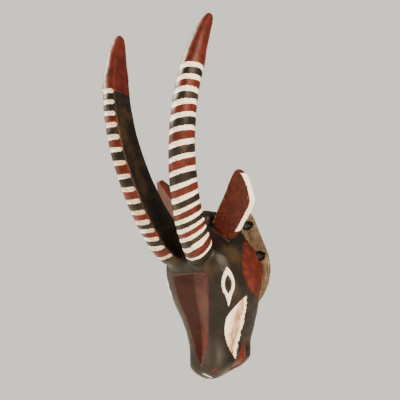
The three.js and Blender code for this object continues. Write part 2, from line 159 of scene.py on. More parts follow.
def along(stations, z, column):
    """A size that changes smoothly from station to station, at each height z."""
    at, size = np.array(sorted((s[0], s[column]) for s in stations), float).T
    k = np.arange(len(at))
    before, after = np.maximum(k - 1, 0), np.minimum(k + 1, len(at) - 1)
    slope = (size[after] - size[before]) / (at[after] - at[before])
    i = np.clip(np.searchsorted(at, z, side="right") - 1, 0, len(at) - 2)
    width = at[i + 1] - at[i]
    t = np.clip((z - at[i]) / width, 0, 1)
    ease = t * t * (3 - 2 * t)
    leaving, arriving = (t**3 - 2 * t**2 + t) * width, (t**3 - t**2) * width
    return (1 - ease) * size[i] + ease * size[i + 1] + leaving * slope[i] + arriving * slope[i + 1]


def points_of(piece):
    at = np.empty(len(piece.data.vertices) * 3)
    piece.data.vertices.foreach_get("co", at)
    return at.reshape(-1, 3) / MM


def move_points(piece, at):
    piece.data.vertices.foreach_set("co", (at * MM).ravel())
    piece.data.update()


def shaped_ball(name, around, down, place):
    """A ball of faces whose vertices move to place(share, turn): share runs from pole to pole."""
    bpy.ops.object.select_all(action="DESELECT")
    bpy.ops.mesh.primitive_uv_sphere_add(segments=around, ring_count=down, radius=MM)
    block = bpy.context.object
    block.name = name
    ball = points_of(block)
    share = np.arccos(np.clip(ball[:, 2], -1, 1)) / math.pi
    move_points(block, np.stack(place(share, np.arctan2(ball[:, 1], ball[:, 0])), axis=1))
    bpy.ops.object.mode_set(mode="EDIT")
    bpy.ops.mesh.select_all(action="SELECT")
    bpy.ops.mesh.normals_make_consistent(inside=False)
    bpy.ops.object.mode_set(mode="OBJECT")
    return block


def square_round(half, front, back, squareness, turn):
    """A point of a squarish oval, and how far it is from the oval's middle line."""
    reach = (np.abs(np.cos(turn)) ** squareness + np.abs(np.sin(turn)) ** squareness) ** (-1 / squareness)
    return half * reach * np.cos(turn), (front + back) / 2 + (back - front) / 2 * reach * np.sin(turn)


def head_place(share, turn):
    top, bottom = CROWN_TOP - CROWN_ROUNDING, CHIN_BOTTOM
    z = top + (bottom - top) * np.clip((share - END_SHARE) / (1 - 2 * END_SHARE), 0, 1)
    crown = np.clip(share / END_SHARE, 0, 1) * math.pi / 2
    z = z + CROWN_ROUNDING * np.cos(crown)
    size = np.sin(crown) * np.clip((1 - share) / END_SHARE, 0, 1)
    rounded = np.clip((CHIN_BOTTOM + NOSE_END_HEIGHT - z) / NOSE_END_HEIGHT, 0, 1)
    inset = NOSE_END_INSET * rounded**NOSE_END_CURVE
    half = (along(HEAD, z, 1) - inset) * size
    front, back = along(HEAD, z, 2) + inset, HEAD_BACK - inset * NOSE_END_BACK
    x, y = square_round(half, front, back, HEAD_SQUARENESS, turn)
    y = (front + back) / 2 + (y - (front + back) / 2) * size
    lift = JAW_LIFT * ramp(-z, -JAW_LIFT_FROM, -CHIN_BOTTOM)
    return x, y, z + lift * (y - front) / (back - front)


mask = shaped_ball("carved_antelope_mask", 144, 160, head_place)


# Brow and poll
# The swelling of the forehead that carries both horns, and the blunt ridge that runs from the
# crown back to the collar. Both are left standing on the block as the horns are freed.
BROW = {"y": -88, "z": -68, "half_width": 44, "half_depth": 22, "half_height": 21}
POLL = {"z": -12, "radius": 13.5, "front": -82, "back": 6}


def brow_place(share, turn):
    level = np.sin(share * math.pi)
    return (BROW["half_width"] * level * np.cos(turn), BROW["y"] + BROW["half_depth"] * level * np.sin(turn),
            BROW["z"] + BROW["half_height"] * np.cos(share * math.pi))


def poll_place(share, turn):
    radius, middle = POLL["radius"], (POLL["front"] + POLL["back"]) / 2
    reach = (POLL["back"] - POLL["front"]) / 2 - radius
    level, depth = np.sin(share * math.pi), np.cos(share * math.pi)
    run = middle + reach * np.sign(np.round(depth, 6)) + radius * depth
    return radius * level * np.cos(turn), run, POLL["z"] + radius * level * np.sin(turn)


brow = shaped_ball("brow", 72, 48, brow_place)
poll = shaped_ball("poll", 64, 41, poll_place)


# Collar
# A flange all round the back of the head, its outline the hull of two discs. Its rim is thin and
# its flat back bears on the wall, and it is left unpainted.
COLLAR_LOW = {"z": -77, "radius": 59}
COLLAR_HIGH = {"z": -23, "radius": 35}
COLLAR_RIM = 4
COLLAR_ROOT = 15
COLLAR_SLOPE_WIDTH = 20


def collar_place(share, turn):
    lean = math.asin((COLLAR_LOW["radius"] - COLLAR_HIGH["radius"]) / (COLLAR_HIGH["z"] - COLLAR_LOW["z"]))
    high = np.sin(turn) > math.sin(lean)
    stops = [0, 0.3, 0.45, 0.55, 0.7, 1]    # front middle, root, slope, rim, back edge, back middle
    y = np.interp(share, stops, [-COLLAR_ROOT, -COLLAR_ROOT, -COLLAR_RIM * 1.9, -COLLAR_RIM, 2, 2])
    inset = np.interp(share, stops, [COLLAR_SLOPE_WIDTH, COLLAR_SLOPE_WIDTH, 5, 0, 0, 0])
    size = np.interp(share, stops, [0, 1, 1, 1, 1, 0])
    radius = np.where(high, COLLAR_HIGH["radius"], COLLAR_LOW["radius"]) - inset
    middle = np.where(high, COLLAR_HIGH["z"], COLLAR_LOW["z"])
    z = (middle + radius * np.sin(turn)) - COLLAR_LOW["z"]
    return radius * size * np.cos(turn), y, COLLAR_LOW["z"] + z * size


collar = shaped_ball("collar", 160, 40, collar_place)


# Horns
# Two long horns that lean forward and splay, each a D in section with its flat side inwards. They
# are carved from the same block as the head, taper to blunt tips and draw in at the brow.
HORN_ARC = {"radius": 287, "z": 130, "y": 110}
HORN_X = 35
HORN_SPLAY = 0.215
HORN_SPLAY_EASE = -0.00007
HORN_ROOT_Z = -80
HORN_TIP_Z = 246
HORN_ROOT_SHIFT = {"x": -3.6, "y": 4, "from": -40, "to": -60}
HORN_HEEL = {"length": 38, "share": 0.5}    # below its last ring the horn draws in to this share
HORN_LONG = 22.1
HORN_SHORT = 17.95
HORN_LEAN = math.radians(29)
HORN_FLAT = 10.6
HORN_FLAT_EDGE = 19
HORN_TIP_SHARE = 0.75
HORN_GROWTH = 0.00121
HORN_TIP_LENGTH = 70
HORN_TIP_BLUNTNESS = 0.36
HORN_STEPS = 600

height = np.linspace(HORN_TIP_Z, HORN_ROOT_Z, HORN_STEPS)
root = ramp(-height, -HORN_ROOT_SHIFT["from"], -HORN_ROOT_SHIFT["to"])
lean = np.arcsin((height - HORN_ARC["z"]) / HORN_ARC["radius"])
horn_axis = np.stack([
    HORN_X + HORN_SPLAY * height + HORN_SPLAY_EASE * height**2 + HORN_ROOT_SHIFT["x"] * root,
    HORN_ARC["y"] - HORN_ARC["radius"] * np.cos(lean) + HORN_ROOT_SHIFT["y"] * root,
    height,
], axis=1)
step = np.linalg.norm(np.diff(horn_axis, axis=0), axis=1)
horn_run = np.concatenate([[0], np.cumsum(step)])
horn_up = -np.gradient(horn_axis, axis=0)
horn_up /= np.linalg.norm(horn_up, axis=1, keepdims=True)
horn_out = np.array([1, 0, 0]) - horn_up[:, :1] * horn_up
horn_out /= np.linalg.norm(horn_out, axis=1, keepdims=True)
horn_back = np.cross(horn_up, horn_out)


def horn_reach(run, turn):
    """How far the horn's skin is from its axis, a distance down from the tip, in one direction."""
    tip = np.clip(run / HORN_TIP_LENGTH, 0, 1) ** HORN_TIP_BLUNTNESS
    heel = ramp(run, horn_run[-1] - HORN_HEEL["length"], horn_run[-1])
    size = (HORN_TIP_SHARE + HORN_GROWTH * run) * tip * (1 - (1 - HORN_HEEL["share"]) * heel)
    reach = 1 / np.hypot(np.cos(turn - HORN_LEAN) / HORN_SHORT, np.sin(turn - HORN_LEAN) / HORN_LONG)
    inward = np.maximum(-np.cos(turn), 1e-6)
    return size * np.minimum(reach, HORN_FLAT / inward)


def horn_place(share, turn):
    run = share * horn_run[-1]
    reach = horn_reach(run, turn) * np.clip((1 - share) / 0.004, 0, 1)
    middle, out, back = [np.stack([np.interp(run, horn_run, line[:, i]) for i in range(3)], axis=1)
                         for line in (horn_axis, horn_out, horn_back)]
    skin = middle + out * (reach * np.cos(turn))[:, None] + back * (reach * np.sin(turn))[:, None]
    return skin.T


left_horn = shaped_ball("left_horn", 96, 300, horn_place)


# Ears
# Flat leaves, 8 mm thick, that face forward and down. Their inner edge is straight, their outer
# edge bevelled, and each stands on a root of its own behind the brow.
EAR_TIP = np.array([72, -89.4, 47])
EAR_FACING = np.array([0.305, -0.872, -0.382])
EAR_LENGTHWAYS = np.array([0.468, -0.212, 0.858])
EAR_THICK = 8
EAR_BEVEL = 4.5
EAR_ROOT = {"across": 3, "up": -78, "depth": 30, "share": 0.3}
EAR_MIDDLE = {"across": 12, "up": -45}
BEVEL_FROM = (0, 10)    # across the ear, where its edge begins to spread and where it spreads fully
EAR_STEPS = 96


def curve(*points, steps=24):
    """Points along a Bezier curve of any order, without its last one."""
    t = np.linspace(0, 1, steps, endpoint=False)[:, None]
    layers = [np.array(p, float) * np.ones_like(t) for p in points]
    while len(layers) > 1:
        layers = [a * (1 - t) + b * t for a, b in zip(layers, layers[1:])]
    return layers[0]


def ear_frame():
    behind = -EAR_FACING / np.linalg.norm(EAR_FACING)
    across = np.cross(EAR_LENGTHWAYS, behind)
    across *= np.sign(across[0]) / np.linalg.norm(across)
    upright = np.cross(behind, across)
    return across, upright * np.sign(upright[2]), behind


EAR_OUTLINE = np.concatenate([
    curve((-15, -82), (-2.5, -4)), curve((-2.5, -4), (-1, 1.5), (4, 1)),
    curve((4, 1), (13, -2), (24, -20), (29, -33)), curve((29, -33), (30.5, -40), (28.5, -47)),
    curve((28.5, -47), (21, -78)), curve((21, -78), (13, -100)), curve((13, -100), (-15, -82)),
])


def ear_place(share, turn):
    edge = np.concatenate([EAR_OUTLINE, EAR_OUTLINE[:1]])
    run = np.concatenate([[0], np.cumsum(np.linalg.norm(np.diff(edge, axis=0), axis=1))])
    at = (turn / (2 * math.pi) % 1) * run[-1]
    across, up = np.interp(at, run, edge[:, 0]), np.interp(at, run, edge[:, 1])
    bevel = EAR_BEVEL * ramp(across, *BEVEL_FROM)
    stops = [0, 0.3, 0.5, 0.8, 1]    # middle of the face, its edge, the back edge, root edge, root middle
    size = np.interp(share, stops, [0, 1, 1, EAR_ROOT["share"], 0])
    depth = np.interp(share, stops, [0, 0, EAR_THICK, EAR_ROOT["depth"], EAR_ROOT["depth"]])
    across = across + bevel * np.interp(share, stops, [0, 0, 1, 0, 0])
    mid_across = np.interp(share, stops, [EAR_MIDDLE["across"]] * 3 + [EAR_ROOT["across"]] * 2)
    mid_up = np.interp(share, stops, [EAR_MIDDLE["up"]] * 3 + [EAR_ROOT["up"]] * 2)
    axes = ear_frame()
    place = EAR_TIP + np.outer(mid_across + (across - mid_across) * size, axes[0])
    return (place + np.outer(mid_up + (up - mid_up) * size, axes[1]) + np.outer(depth, axes[2])).T


left_ear = shaped_ball("left_ear", EAR_STEPS, 30, ear_place)


# Hollow and lashing holes
# The back is gouged out to an even wall behind the eyes and muzzle. The holes go through the
# collar from the front: wide mouths that taper and slant outwards to the wall, painted black inside as
# painted shade.
HOLLOW_TOP = -34
HOLLOW_BOTTOM = -168
HOLLOW_HALF = 33
SIDE_WALL = 18
FRONT_WALL = 24
HOLLOW_SQUARENESS = 3
HOLLOW_BACK = 8
LASHING_HOLES = [    # narrower at the wall than the CAD's, so that no background shows through them
    {"x": 45.7, "z": -60, "radius": 7.5, "exit": 2.4, "slant": 6.3},
    {"x": 26.1, "z": -16, "radius": 6.5, "exit": 2, "slant": 4.5},
]
HOLE_DEPTH = 16
HOLE_NARROWS = 9.5
WALL_CUT = (0.5, 0.1, 0.8)     # metres, the block that is sawn off behind the wall plane


def hollow_place(share, turn):
    rise = math.pi * (0.5 - share)
    z = (HOLLOW_TOP + HOLLOW_BOTTOM) / 2 + (HOLLOW_TOP - HOLLOW_BOTTOM) / 2 * np.sin(rise)
    swell = np.clip(np.cos(rise), 0, 1) ** 0.5
    half = np.minimum(along(HEAD, z, 1) - SIDE_WALL, HOLLOW_HALF) * swell
    front = (along(HEAD, z, 2) + FRONT_WALL) * swell
    x, y = square_round(half, front, HOLLOW_BACK, HOLLOW_SQUARENESS, turn)
    return x, y, z


def narrowing_at(y):
    """0 in a lashing hole's wide mouth, 1 where it reaches the wall."""
    return np.maximum(1 + y / HOLE_NARROWS, 0)


def hole_place(hole, share, turn):
    y = np.interp(share, [0, 0.2, 0.5, 0.8, 1], [-HOLE_DEPTH, -HOLE_DEPTH, -HOLE_NARROWS, 1, 1])
    narrowing = narrowing_at(y)
    radius = hole["radius"] + (hole["exit"] - hole["radius"]) * narrowing
    radius = radius * np.interp(share, [0, 0.2, 0.8, 1], [0, 1, 1, 0])
    x = hole["x"] + hole["slant"] * narrowing + radius * np.cos(turn)
    return x, y, hole["z"] + radius * np.sin(turn)


hollow = shaped_ball("hollow", 96, 64, hollow_place)
bores = [shaped_ball("lashing_hole", 48, 40, lambda share, turn, hole=hole: hole_place(hole, share, turn))
         for hole in LASHING_HOLES]
bpy.ops.mesh.primitive_cube_add(size=1, location=(0, WALL_CUT[1] / 2, 0), scale=WALL_CUT)
wall_cut = bpy.context.object


# One block
# The parts above become one solid, as they are in the real mask, with an even skin of small faces
# and the rounded corners that a knife leaves.
SKIN = 1.15          # mm, side of a face
# mm down and in front of the origin, where the horns' heels are blended into the brow
ROOTS_SMOOTHED = {"down": (52, 66), "to": (80, 87), "front": (84, 92), "rounds": 24}


def finish_with(piece, kind, **settings):
    """Adds a modifier to a piece and applies it."""
    bpy.ops.object.select_all(action="DESELECT")
    bpy.context.view_layer.objects.active = piece
    piece.select_set(True)
    modifier = piece.modifiers.new(kind.lower(), kind)
    for key, value in settings.items():
        setattr(modifier, key, value)
    bpy.ops.object.modifier_apply(modifier=modifier.name)


def mirror_image(piece, name):
    bpy.ops.object.select_all(action="DESELECT")
    bpy.context.view_layer.objects.active = piece
    piece.select_set(True)
    bpy.ops.object.duplicate()
    other = bpy.context.object
    other.name = name
    move_points(other, points_of(other) * (-1, 1, 1))
    bpy.ops.object.mode_set(mode="EDIT")
    bpy.ops.mesh.select_all(action="SELECT")
    bpy.ops.mesh.flip_normals()
    bpy.ops.object.mode_set(mode="OBJECT")
    return other


for part in (brow, poll, collar, left_horn, mirror_image(left_horn, "right_horn"),
             left_ear, mirror_image(left_ear, "right_ear")):
    finish_with(mask, "BOOLEAN", operation="UNION", solver="MANIFOLD", object=part)
    bpy.data.objects.remove(part)
bores += [mirror_image(bore, "right_hole") for bore in bores]
for tool in (hollow, wall_cut, *bores):
    finish_with(mask, "BOOLEAN", operation="DIFFERENCE", solver="MANIFOLD", object=tool)
    bpy.data.objects.remove(tool)
finish_with(mask, "REMESH", mode="VOXEL", voxel_size=SKIN * MM, use_smooth_shade=True)


def edge_ends(piece):
    ends = np.empty(len(piece.data.edges) * 2, int)
    piece.data.edges.foreach_get("vertices", ends)
    return ends.reshape(-1, 2).T


def spread(first, second, values):
    """Each vertex's mean of its neighbours' values."""
    total = np.bincount(first, values[second], minlength=len(values))
    total += np.bincount(second, values[first], minlength=len(values))
    return total / np.bincount(np.concatenate([first, second]), minlength=len(values))


points = points_of(mask)
first, second = edge_ends(mask)
rubbed_down = ramp(-points[:, 2], *ROOTS_SMOOTHED["down"]) * (1 - ramp(-points[:, 2], *ROOTS_SMOOTHED["to"]))
rubbed_down *= ramp(-points[:, 1], *ROOTS_SMOOTHED["front"])
for _ in range(ROOTS_SMOOTHED["rounds"]):
    for i in range(3):
        points[:, i] += (spread(first, second, points[:, i]) - points[:, i]) * rubbed_down
move_points(mask, points)


# Rings
# Shallow gouged rings round the front and outer side of each horn, painted white. The lands between
# them are black and red in turn, the tips red, and the flat inner sides plain black.
RING_DEPTH = 1.5
RING_WIDTH = 6.4
RING_NARROWING = 0.28   # the rings nearest the head are this share narrower
RING_SIDES = 1.5
RING_CROWDING = 0.0525
RING_CURVE = 1.5
RING_WANDER = 0.55      # how far a ring strays from true, having been cut by eye
RING_BACK_TURN = math.radians(95)       # where a ring ends on the horn's back
LEFT_RINGS = {"side": 1, "count": 17, "first": 82.1, "span": 244.9, "tilt": 0.34,
              "red_lands": range(2, 17, 2), "seed": 3}
RIGHT_RINGS = {"side": -1, "count": 16, "first": 93.6, "span": 227.4, "tilt": 0.24,
               "red_lands": range(3, 16, 2), "seed": 8}
FLAT_EDGE_TURN = math.acos(-HORN_FLAT / HORN_FLAT_EDGE)
HORN_NEAR = 2.4         # mm, how far off the horn's skin a point still counts as its own
HORN_INNER = 4          # mm from the middle line, nearer than which no point is a horn's
HORN_BELOW = 6          # mm below its root that a point may still be a horn's
RING_END_GAP = 1.2      # mm that a ring stops short of the flat side and the back
LAND_PAST_RING = 1.5    # mm that a red land runs on past the rings' ends
FAR = -99.0             # a distance for what lies nowhere near


def horn_field(at, side):
    """Distance from the tip, direction round the axis, and distance from it, of each point near a horn."""
    turned = at * (side, 1, 1)
    near = np.flatnonzero((turned[:, 0] > HORN_INNER) & (turned[:, 2] > HORN_ROOT_Z - HORN_BELOW))
    q = turned[near]
    row = np.clip(np.searchsorted(-height, -q[:, 2]), 0, HORN_STEPS - 1)
    for _ in range(3):
        off = np.einsum("ij,ij->i", q - horn_axis[row], horn_up[row])
        run = np.clip(horn_run[row] - off, 0, horn_run[-1])
        row = np.clip(np.searchsorted(horn_run, run), 0, HORN_STEPS - 1)
    off = q - horn_axis[row]
    out, back = np.einsum("ij,ij->i", off, horn_out[row]), np.einsum("ij,ij->i", off, horn_back[row])
    reach = np.hypot(out, back)
    turn = np.arctan2(back, out)
    inside = reach < horn_reach(run, turn) + HORN_NEAR
    return near[inside], run[inside], turn[inside], reach[inside], row[inside]


def ring_middles(rings, turn):
    """Each ring's distance from the tip and its half width, as they wander round the horn."""
    chance = np.random.default_rng(rings["seed"])
    for k in range(rings["count"]):
        t = k / (rings["count"] - 1)
        crowding = RING_CROWDING * math.sin(math.pi * t**RING_CURVE) ** 2
        middle = rings["first"] + rings["span"] * (t + crowding)
        tilt, phase, beat, fat = chance.uniform((0.2, 0, 0, -0.25), (1, 6.28, 6.28, 0.25))
        wander = RING_WANDER * (tilt * np.sin(turn + phase) + 0.35 * np.sin(3 * turn + beat))
        half = RING_WIDTH / 2 * (1 - RING_NARROWING * t**3)
        yield middle + wander, half + fat + 0.2 * np.sin(2 * turn + beat)


def ring_distance(rings, run, turn, reach):
    """How deep each point is inside a ring, in mm, and how deep inside a red land."""
    run = run + rings["tilt"] * reach * np.cos(turn)
    ends = np.where(turn > 0, RING_BACK_TURN - turn, FLAT_EDGE_TURN + turn) * reach - RING_END_GAP
    rounded = np.full(run.shape, FAR)
    red = np.full(run.shape, FAR)
    last = None
    for k, (middle, half) in enumerate(ring_middles(rings, turn)):
        across = half - np.abs(run - middle)
        corner = np.hypot(np.minimum(across - half, 0), np.minimum(ends - half, 0))
        rounded = np.maximum(rounded, np.where(ends < half, half - corner, across))
        if last is None:
            red = middle - run
        elif k in rings["red_lands"]:
            land = np.minimum(np.minimum(run - last, middle - run), ends + LAND_PAST_RING)
            red = np.maximum(red, land)
        last = middle
    return rounded, red


points = points_of(mask)
for rings in (LEFT_RINGS, RIGHT_RINGS):
    near, run, turn, reach, row = horn_field(points, rings["side"])
    groove = ramp(ring_distance(rings, run, turn, reach)[0], 0, RING_SIDES) * RING_DEPTH
    inwards = -(horn_out[row] * np.cos(turn)[:, None] + horn_back[row] * np.sin(turn)[:, None])
    points[near] += inwards * groove[:, None] * (rings["side"], 1, 1)


# Blaze
# A long triangular trough down the face, cut as two flat walls that meet in a valley on the middle
# line, with a short wall across its top.
BLAZE = [  # height, half width, front edge, depth of the valley
    (-89, 31.6, -101.2, 7.5), (-108, 29.3, -97.5, 7.5), (-126, 25.2, -92.5, 7), (-147, 18.9, -85.2, 5.5),
    (-168, 14.8, -81, 4.5), (-188, 9.4, -79, 3.5), (-210, 0.6, -78.2, 1),
]
BLAZE_PAINT = 1.6       # the red runs this far out over the trough's edge


def outline_distance(outline, u, v):
    """How deep each point (u, v) is inside a closed outline, in mm, negative outside it."""
    nearest = np.full(u.shape, np.inf)
    inside = np.zeros(u.shape, bool)
    for (au, av), (bu, bv) in zip(outline, np.roll(outline, -1, axis=0)):
        du, dv = bu - au, bv - av
        t = np.clip(((u - au) * du + (v - av) * dv) / max(du * du + dv * dv, 1e-12), 0, 1)
        nearest = np.minimum(nearest, (u - au - t * du) ** 2 + (v - av - t * dv) ** 2)
        crosses = (av > v) != (bv > v)
        inside ^= crosses & (u < au + (v - av) * du / (dv if dv else 1e-12))
    return np.where(inside, 1, -1) * np.sqrt(nearest)


BLAZE_OUTLINE = np.array([(-s[1], s[0]) for s in BLAZE] + [(s[1], s[0]) for s in reversed(BLAZE)])


def blaze_distance(at):
    deep = np.full(len(at), FAR)
    near = (at[:, 1] < -60) & (np.abs(at[:, 0]) < 45) & (at[:, 2] < -75)
    deep[near] = outline_distance(BLAZE_OUTLINE, at[near, 0], at[near, 2])
    return deep


deep = blaze_distance(points)
half = np.maximum(along(BLAZE, points[:, 2], 1), 0.5)
valley = along(BLAZE, points[:, 2], 2)
valley += along(BLAZE, points[:, 2], 3) * np.clip(1 - np.abs(points[:, 0]) / half, 0, 1)
carved = np.maximum(points[:, 1], valley)
points[:, 1] += (carved - points[:, 1]) * ramp(deep, -0.2, 0.9)


# Eyes
# A raised drop-shaped ring with a tail, white, round a domed black pupil in a narrow moat.
EYE_PLACE = np.array([51.5, -82, -101])
EYE_FACING = math.radians(24)
EYE_TILT = math.radians(9)
EYE = {"top": 21.5, "half": 11.5, "neck": -15, "neck_half": 6, "tail": -33}
PUPIL = {"z": -2, "half": 5, "height": 11, "swell": 1.7}
PUPIL_MOAT = 1.6
EYE_SHOULDER = {"out": 0.7, "up": 0.6, "swell": 1.25, "z": -2}
EYE_PROUD = 2
PUPIL_PROUD = 3
RIGHT_EYE_BACK = 6     # the right eye sits this much further back

side_of_eye = [
    (EYE["neck_half"], EYE["neck"]), (EYE["half"] * EYE_SHOULDER["swell"], EYE_SHOULDER["z"]),
    (EYE["half"] * EYE_SHOULDER["out"], EYE["top"] * EYE_SHOULDER["up"]), (0, EYE["top"]),
]
EYE_OUTLINE = np.concatenate([
    curve(*side_of_eye), curve(*[(-u, v) for u, v in reversed(side_of_eye)]),
    curve((-EYE["neck_half"], EYE["neck"]), (0, EYE["tail"])), curve((0, EYE["tail"]), side_of_eye[0]),
])
PUPIL_OUTLINE = np.concatenate([
    curve((0, PUPIL["z"] + s * PUPIL["height"]), (s * PUPIL["half"] * PUPIL["swell"], PUPIL["z"]),
          (0, PUPIL["z"] - s * PUPIL["height"])) for s in (1, -1)
])


def eye_distances(at):
    """How deep each point is inside the eye's ring outline and its pupil."""
    side = np.sign(at[:, 0])
    off = at * np.stack([side, side * side, side * side], axis=1) - EYE_PLACE
    off[:, 1] -= RIGHT_EYE_BACK * (side < 0)
    back = off[:, 0] * math.sin(EYE_FACING) + off[:, 1] * math.cos(EYE_FACING)
    u = back * math.cos(EYE_TILT) + off[:, 2] * math.sin(EYE_TILT)
    v = off[:, 2] * math.cos(EYE_TILT) - back * math.sin(EYE_TILT)
    proud = off[:, 0] * math.cos(EYE_FACING) - off[:, 1] * math.sin(EYE_FACING)
    near = (np.abs(u) < 30) & (np.abs(v) < 45) & (proud > -20)
    ring, pupil = np.full(len(at), FAR), np.full(len(at), FAR)
    ring[near] = outline_distance(EYE_OUTLINE, u[near], v[near])
    pupil[near] = outline_distance(PUPIL_OUTLINE, u[near], v[near])
    return ring, pupil


ring, pupil = eye_distances(points)
rise = EYE_PROUD * ramp(ring, -0.2, 1.4) * (1 - ramp(pupil, -PUPIL_MOAT - 1.4, -PUPIL_MOAT + 0.4))
rise += PUPIL_PROUD * np.sqrt(np.clip(pupil / PUPIL["half"], 0, 1))
side = np.sign(points[:, 0])
points[:, 0] += side * rise * math.cos(EYE_FACING)
points[:, 1] -= rise * math.sin(EYE_FACING)


# Cheek moons, temples and mouth corners
# The moon is a half disc whose floor slopes down to a steep back wall; the temple is a sunk lens with
# a soft ridge; the mouth corner is a leaf-shaped gouge that runs out under the chin.
MOON_DEPTH = 5.5
MOON_REACH = 32
MOON_FRONT = -69
TEMPLE_DEPTH = 1.8
TEMPLE_RIDGE = 1.4
MOUTH_DEPTH = 2
MOUTH_SLOPE = 4         # mm in from its outline to its full depth
RIDGE_REACH = 12        # mm each way from the temple's ridge
SKIN_DEPTH = 9          # mm in from the head's full width that still is its outer skin
MOON_OUTLINE = np.concatenate([
    curve((-43, -116), (-62, -128), (-75, -141), (-69.5, -158)),
    curve((-69.5, -158), (-66, -174), (-56, -187), (-41.5, -201)),
    curve((-41.5, -201), (-27, -166), (-43, -116)),
])
TEMPLE_OUTLINE = np.concatenate([
    curve((-18, -37), (-72, -62), (-70, -97), (-19, -120)),
    curve((-19, -120), (-6, -100), (-4, -60), (-18, -37)),
])
TEMPLE_RIDGE_LINE = np.array([(-18, -37), (-28.7, -47), (-40, -65), (-41, -82), (-36, -98), (-19, -120)])
MOUTH_OUTLINE = np.concatenate([
    curve((-23, -170), (-32, -190), (-44, -211), (-54, -229)),
    curve((-52, -229), (-20, -229), (-14, -205), (-23, -170)),
])


def side_distance(outline, at, clear=14):
    """How deep each point is inside an outline drawn on the side of the head, y and z in mm."""
    low, high = outline.min(axis=0) - 8, outline.max(axis=0) + 8
    near = (np.abs(at[:, 0]) > clear) & (at[:, 1] > low[0]) & (at[:, 1] < high[0])
    near &= (at[:, 2] > low[1]) & (at[:, 2] < high[1])
    deep = np.full(len(at), FAR)
    deep[near] = outline_distance(outline, at[near, 1], at[near, 2])
    return deep


def outer_skin(at):
    """True on the head's outer skin, false inside the hollow."""
    return np.abs(at[:, 0]) > along(HEAD, at[:, 2], 1) - SKIN_DEPTH


moon = side_distance(MOON_OUTLINE, points)
slope = MOON_DEPTH * np.clip((points[:, 1] - MOON_FRONT) / MOON_REACH, 0, 1.1)
cut = slope * ramp(moon, -0.1, 1.0)
temple = side_distance(TEMPLE_OUTLINE, points)
to_ridge = np.abs(outline_distance(TEMPLE_RIDGE_LINE, points[:, 1], points[:, 2]))
cut += (TEMPLE_DEPTH - TEMPLE_RIDGE * np.clip(1 - to_ridge / RIDGE_REACH, 0, 1)) * ramp(temple, -0.1, 1.1)
mouth = side_distance(MOUTH_OUTLINE, points)
cut += MOUTH_DEPTH * np.clip(mouth / MOUTH_SLOPE, 0, 1) ** 0.7
cut *= outer_skin(points)
points[:, 0] -= np.sign(points[:, 0]) * cut


# Nose end
# A short red stroke for each nostril, and one short white line for the lip near the middle. Both are
# shallow cuts as well as paint.
NOSTRIL = {"from": (13, -220), "to": (24.5, -212.5), "half": 1.3, "sides": 2}
LIP = {"from": (-1.5, -220.5), "to": (8, -225.5), "half": 1.3, "sides": 1}
STROKE_DEPTH = 0.7


def stroke_distance(stroke, at):
    """How deep each point of the nose is inside a short stroke drawn in front view."""
    u, v = np.abs(at[:, 0]) if stroke["sides"] == 2 else at[:, 0], at[:, 2]
    (au, av), (bu, bv) = stroke["from"], stroke["to"]
    t = np.clip(((u - au) * (bu - au) + (v - av) * (bv - av)) / ((bu - au) ** 2 + (bv - av) ** 2), 0, 1)
    off = np.hypot(u - au - t * (bu - au), v - av - t * (bv - av))
    taper = 0.35 + 0.65 * np.sin(math.pi * (0.1 + 0.8 * t))
    return np.where(at[:, 1] < -52, stroke["half"] * taper - off, FAR)


for stroke in (NOSTRIL, LIP):
    points[:, 1] += STROKE_DEPTH * ramp(stroke_distance(stroke, points), 0, 1)
move_points(mask, points)


# Knife marks
# Low facets and hollows all over, as a knife leaves them, then fewer faces where the skin is flat.
MARKS = [{"length": 26, "depth": 0.28}, {"length": 11, "depth": 0.10}]
MOST_TRIANGLES = 188000


def soft_noise(at, length, seed, waves=14):
    """Smooth noise from -1 to 1 or so, its hills a given length across in mm."""
    chance = np.random.default_rng(seed)
    direction = chance.normal(size=(waves, 3))
    direction *= chance.uniform(0.6, 1.5, (waves, 1)) / np.linalg.norm(direction, axis=1, keepdims=True)
    phase = chance.uniform(0, 2 * math.pi, waves)
    return np.sin(at @ direction.T * (2 * math.pi / length) + phase).sum(axis=1) / math.sqrt(waves)


def normals_of(piece):
    normal = np.empty(len(piece.data.vertices) * 3)
    piece.data.vertex_normals.foreach_get("vector", normal)
    return normal.reshape(-1, 3)


points = points_of(mask)
dents = sum(m["depth"] * soft_noise(points, m["length"], i + 1) for i, m in enumerate(MARKS))
dents *= ramp(-points[:, 1], 0.5, 3)
move_points(mask, points + normals_of(mask) * dents[:, None])
finish_with(mask, "TRIANGULATE")
finish_with(mask, "DECIMATE", ratio=min(1, MOST_TRIANGLES / len(mask.data.polygons)))


# Where the paint goes
# Each colour's edge follows the carving: an attribute holds how deep each point is inside it, in mm.
# Others hold how sharp an edge or crease is, where white has yellowed, and where red and white are darkened
# as painted shade.
BARE_FROM = {"y": -15, "jaw_y": -2.5, "head_z": -125, "jaw_z": -150}
EAR_WHITE = {"across": 5, "start": 0.5, "foot": -83, "tip": -1.5}
HOLE_SHADE_RIM = 0.8             # mm round a lashing hole's mouth that is painted black, as painted shade
SHORTEST_EDGE = 0.2     # mm, below which an edge says no more about sharpness
SHARP_SHOWN = 2.2       # how strongly sharpness shows, as wear and a painted highlight on edges and as painted shade in creases
